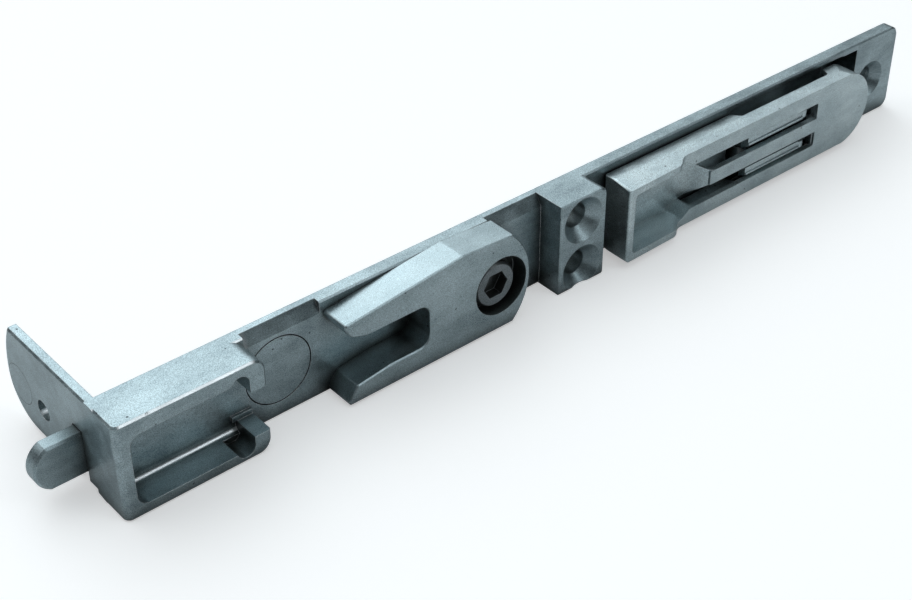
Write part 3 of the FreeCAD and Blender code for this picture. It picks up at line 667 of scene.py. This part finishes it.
@dataclass(frozen=True)
class Turned(Trim):
    """An outline of radius and height, turned once round an axis through its foot."""

    foot: Triple
    axis: Axis
    outline: tuple[Pair, ...]
    steps: int = 48

    def build(self, shop: Workshop) -> None:
        """Make the piece.

        Args:
            shop: Where the finishes are made.
        """
        shape = bmesh.new()
        foot = Vector(self.foot) * MM
        axis = Vector(self.axis.value)
        corners = [
            shape.verts.new(foot + Vector((radius * MM, 0.0, 0.0)) + axis * (height * MM))
            for radius, height in self.outline
        ]
        sides = [shape.edges.new(ends) for ends in zip(corners, corners[1:] + corners[:1])]
        bmesh.ops.spin(
            shape, geom=corners + sides, cent=foot, axis=axis, dvec=(0.0, 0.0, 0.0),
            angle=math.tau, steps=self.steps, use_merge=True,
        )
        bmesh.ops.remove_doubles(shape, verts=shape.verts, dist=WELD_MM * MM)
        loose = [side for side in shape.edges if not side.link_faces]
        bmesh.ops.delete(shape, geom=loose, context="EDGES")
        self._close(shape, shop)


@dataclass
class SubAssembly:
    """Solids that belong together with the finish of each, and the trim made for them."""

    title: str
    finishes: dict[str, Finish]

    def trim(self) -> list[Moulding | Turned]:
        """The small pieces that this sub-assembly adds."""
        return []

    def build(self, shop: Workshop) -> None:
        """Dress the solids and make the trim.

        Args:
            shop: Where the finishes are made.
        """
        for node, finish in self.finishes.items():
            shop.dress(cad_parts[node], finish)
            LOG.info("%s: %s in %s", self.title, node, finish.value.name)
        for piece in self.trim():
            piece.build(shop)
            LOG.info("%s: %s on %s", self.title, piece.name, piece.body)


@dataclass
class Body(SubAssembly):
    """The casting with its stud, hinge pin and washers, and a collar behind its end hole."""

    title: str = "body"
    finishes: dict[str, Finish] = field(default_factory=lambda: {
        "body_casting": Finish.BODY,
        "guide_stud": Finish.CAST,
        "lever_pin": Finish.PLATED,
        "guide_washer_1": Finish.PLATED,
        "guide_washer_2": Finish.PLATED,
        "guide_washer_3": Finish.PLATED,
    })
    collar_foot: Triple = (73.8, -0.05, -0.2)
    collar_bore: float = 2.05
    collar_radius: float = 2.9
    collar_length: float = 2.35
    collar_edge: float = 0.08

    def trim(self) -> list[Moulding | Turned]:
        """The collar behind the end hole.

        Returns:
            The collar alone.
        """
        outline = (
            (self.collar_bore, 0.0),
            (self.collar_radius, 0.0),
            (self.collar_radius, self.collar_length),
            (self.collar_bore, self.collar_length),
        )
        return [Turned(
            "end_hole_collar", "casting", "cast_zinc", Finish.CAST, self.collar_edge,
            self.collar_foot, Axis.Y, outline,
        )]


@dataclass
class Fork(SubAssembly):
    """The closing fork and its eccentric screw."""

    title: str = "fork"
    finishes: dict[str, Finish] = field(default_factory=lambda: {
        "strike_fork": Finish.FORK,
        "eccentric_screw": Finish.DARK_STEEL,
    })


@dataclass(frozen=True)
class ArmTrim:
    """Heights of the rail and the round eye on one link arm, in millimetres."""

    lip_low: float
    lip_top: float
    face_top: float
    heel: float
    eye_low: float
    eye_height: float


@dataclass
class LeverWork(SubAssembly):
    """The lever and its link arms, with rails and eyes on the arm fronts that show in its window, coloured
    lighter than plated steel as painted light.
    """

    title: str = "lever"
    finishes: dict[str, Finish] = field(default_factory=lambda: {
        "lever": Finish.LEVER,
        "link_upper": Finish.PLATED,
        "link_lower": Finish.PLATED,
        "link_pin": Finish.PLATED,
    })
    arms: dict[str, ArmTrim] = field(default_factory=lambda: {
        "upper": ArmTrim(2.50, 2.95, 4.10, 1.30, 2.6, 1.4),
        "lower": ArmTrim(-3.10, -2.75, -1.85, -4.00, -3.2, 1.2),
    })
    rail_start: float = 37.4
    rail_end: float = 50.7
    rail_lip_y: float = -6.50
    rail_face_y: float = -6.25
    rail_back_y: float = -4.80
    rail_edge: float = 0.06
    eye_x: float = 51.2
    eye_y: float = -5.6
    eye_radius: float = 0.85
    eye_edge: float = 0.12

    def trim(self) -> list[Moulding | Turned]:
        """The fronts of the two link arms, plated steel coloured lighter as painted light.

        Returns:
            The rails, then the eyes.
        """
        rails = [self._rail(side, arm) for side, arm in self.arms.items()]
        eyes = [self._eye(side, arm) for side, arm in self.arms.items()]
        return rails + eyes

    def _rail(self, side: str, arm: ArmTrim) -> Moulding:
        """Stepped rail on the front of one arm.

        Args:
            side: Which arm it is.
            arm: Its heights.

        Returns:
            The rail.
        """
        section = (
            (self.rail_lip_y, arm.lip_low),
            (self.rail_lip_y, arm.lip_top),
            (self.rail_face_y, arm.lip_top),
            (self.rail_face_y, arm.face_top),
            (self.rail_back_y, arm.face_top),
            (self.rail_back_y, arm.heel),
        )
        return Moulding(
            f"link_rail_{side}", "link", "plated_steel", Finish.PLATED_PAINTED_LIGHT, self.rail_edge,
            self.rail_start, self.rail_end, section,
        )

    def _eye(self, side: str, arm: ArmTrim) -> Turned:
        """Round end of one rail.

        Args:
            side: Which arm it is.
            arm: Its heights.

        Returns:
            The eye.
        """
        outline = (
            (0.0, 0.0),
            (self.eye_radius, 0.0),
            (self.eye_radius, arm.eye_height),
            (0.0, arm.eye_height),
        )
        return Turned(
            f"link_eye_{side}", "link", "plated_steel", Finish.PLATED_PAINTED_LIGHT, self.eye_edge,
            (self.eye_x, self.eye_y, arm.eye_low), Axis.Z, outline,
        )


@dataclass
class BoltWork(SubAssembly):
    """The drive bar and the bolt that it carries."""

    title: str = "bolt work"
    finishes: dict[str, Finish] = field(default_factory=lambda: {
        "drive_bar": Finish.PLATED,
        "bolt": Finish.CAST,
        "bar_pin": Finish.PLATED,
        "bolt_rivet_1": Finish.PLATED,
        "bolt_rivet_2": Finish.PLATED,
    })


@dataclass(frozen=True)
class Glow:
    """A soft bright patch of the room, round one direction."""

    towards: Triple
    sharpness: float
    strength: float

    def strength_towards(self, graph: Graph, direction: Socket) -> Value:
        """How bright the patch makes a direction.

        Args:
            graph: The world's graph.
            direction: The direction looked in.

        Returns:
            The added strength.
        """
        aim = tuple(Vector(self.towards).normalized())
        return graph.dot(direction, aim).larger(0.0).power(self.sharpness) * self.strength


@dataclass(frozen=True)
class Lamp:
    """A soft square lamp. Its place, aim and side are in metres, its power in watts."""

    name: str
    place: Triple
    aim: Triple
    side: float
    watts: float

    def hang(self) -> None:
        """Put the lamp in the scene."""
        data = bpy.data.lights.new(self.name, "AREA")
        data.size = self.side
        data.energy = self.watts
        lamp = bpy.data.objects.new(self.name, data)
        lamp.location = self.place
        beam = Vector(self.aim) - Vector(self.place)
        lamp.rotation_euler = beam.to_track_quat("-Z", "Y").to_euler()
        bpy.context.scene.collection.objects.link(lamp)


@dataclass
class Studio:
    """Floor, light, background and camera, in metres."""

    floor_z: float = -0.0076
    floor_half: float = 1.6
    floor_grey: float = 0.80
    floor_glow: float = 0.43
    camera_place: Triple = (-0.149606, -0.155366, 0.144327)
    camera_right: Triple = (0.76472895, -0.64462233, -0.00434451)
    camera_down: Triple = (-0.385075, -0.4512831, -0.80469618)
    camera_ahead: Triple = (0.51669609, 0.61705358, -0.59304147)
    camera_reach: Pair = (0.01, 10.0)
    focal_pixels: float = 1677.38
    photo_width: int = 912
    sensor_mm: float = 36.0
    room_level: float = 0.01
    room_tint: Triple = (0.88, 0.96, 1.0)
    glows: tuple[Glow, ...] = (
        Glow((0.22, 0.76, 0.62), 12.0, 1.79),
        Glow((0.42, 0.66, 0.62), 12.0, 0.50),
        Glow((0.0, 0.10, 1.0), 2.5, 0.98),
        Glow((0.40, -0.60, 0.69), 80.0, 2.7),
    )
    lamp: Lamp = Lamp("left", (-0.25, 0.20, 0.35), (-0.05, 0.0, 0.0), 0.30, 0.20)

    def build(self) -> None:
        """Make everything round the object."""
        self._floor()
        self._world()
        self.lamp.hang()
        self._camera()
        bpy.context.scene.view_settings.view_transform = "Standard"

    def _floor(self) -> None:
        """Plain pale floor that keeps the object's shadow."""
        mesh = bpy.data.meshes.new("floor")
        shape = bmesh.new()
        bmesh.ops.create_grid(shape, x_segments=1, y_segments=1, size=self.floor_half)
        bmesh.ops.translate(shape, verts=shape.verts, vec=(0.0, 0.0, self.floor_z))
        shape.to_mesh(mesh)
        shape.free()
        mesh.materials.append(self._floor_paint())
        floor = bpy.data.objects.new("floor", mesh)
        bpy.context.scene.collection.objects.link(floor)

    def _floor_paint(self) -> bpy.types.Material:
        """Matt paint that the camera sees a little brighter than it is.

        Returns:
            The node material.
        """
        made = bpy.data.materials.new("floor_paint")
        made.use_nodes = True
        graph = Graph(made.node_tree)
        grey = (self.floor_grey, self.floor_grey, self.floor_grey, 1.0)
        matt = graph.node("ShaderNodeBsdfDiffuse", None, {"Color": grey})
        seen = graph.value("ShaderNodeLightPath", out="Is Camera Ray")
        inputs = {"Color": WHITE, "Strength": seen * self.floor_glow}
        glow = graph.node("ShaderNodeEmission", None, inputs)
        both = graph.node("ShaderNodeAddShader", None, {0: matt.outputs[0], 1: glow.outputs[0]})
        graph.node("ShaderNodeOutputMaterial", None, {"Surface": both.outputs[0]})
        return made

    def _world(self) -> None:
        """White background for the camera, and a dark room with bright patches for all else."""
        world = bpy.data.worlds.new("room")
        bpy.context.scene.world = world
        world.use_nodes = True
        graph = Graph(world.node_tree)
        direction = graph.node("ShaderNodeTexCoord").outputs["Generated"]
        level = graph.value("ShaderNodeValue")
        level.socket.default_value = self.room_level
        for glow in self.glows:
            level = level + glow.strength_towards(graph, direction)
        tint = (*self.room_tint, 1.0)
        room = graph.node("ShaderNodeBackground", None, {"Color": tint, "Strength": level})
        white = graph.node("ShaderNodeBackground", None, {"Color": WHITE, "Strength": 1.0})
        seen = graph.value("ShaderNodeLightPath", out="Is Camera Ray")
        shaders = {0: seen, 1: room.outputs[0], 2: white.outputs[0]}
        mix = graph.node("ShaderNodeMixShader", None, shaders)
        graph.node("ShaderNodeOutputWorld", None, {"Surface": mix.outputs[0]})

    def _camera(self) -> None:
        """Camera at the photograph's angle and lens."""
        data = bpy.data.cameras.new("camera")
        data.sensor_fit = "HORIZONTAL"
        data.sensor_width = self.sensor_mm
        data.lens = self.focal_pixels / self.photo_width * self.sensor_mm
        data.clip_start, data.clip_end = self.camera_reach
        camera = bpy.data.objects.new("camera", data)
        turn = Matrix.Identity(4)
        for row in range(3):
            turn[row][0] = self.camera_right[row]
            turn[row][1] = -self.camera_down[row]
            turn[row][2] = -self.camera_ahead[row]
            turn[row][3] = self.camera_place[row]
        camera.matrix_world = turn
        bpy.context.scene.collection.objects.link(camera)
        bpy.context.scene.camera = camera


def main() -> None:
    """Build the sub-assemblies in order and set the studio."""
    logging.basicConfig(level=logging.INFO)
    shop = Workshop()
    for group in (Body(), Fork(), LeverWork(), BoltWork()):
        group.build(shop)
    Studio().build()


if __name__ == "__main__":
    main()
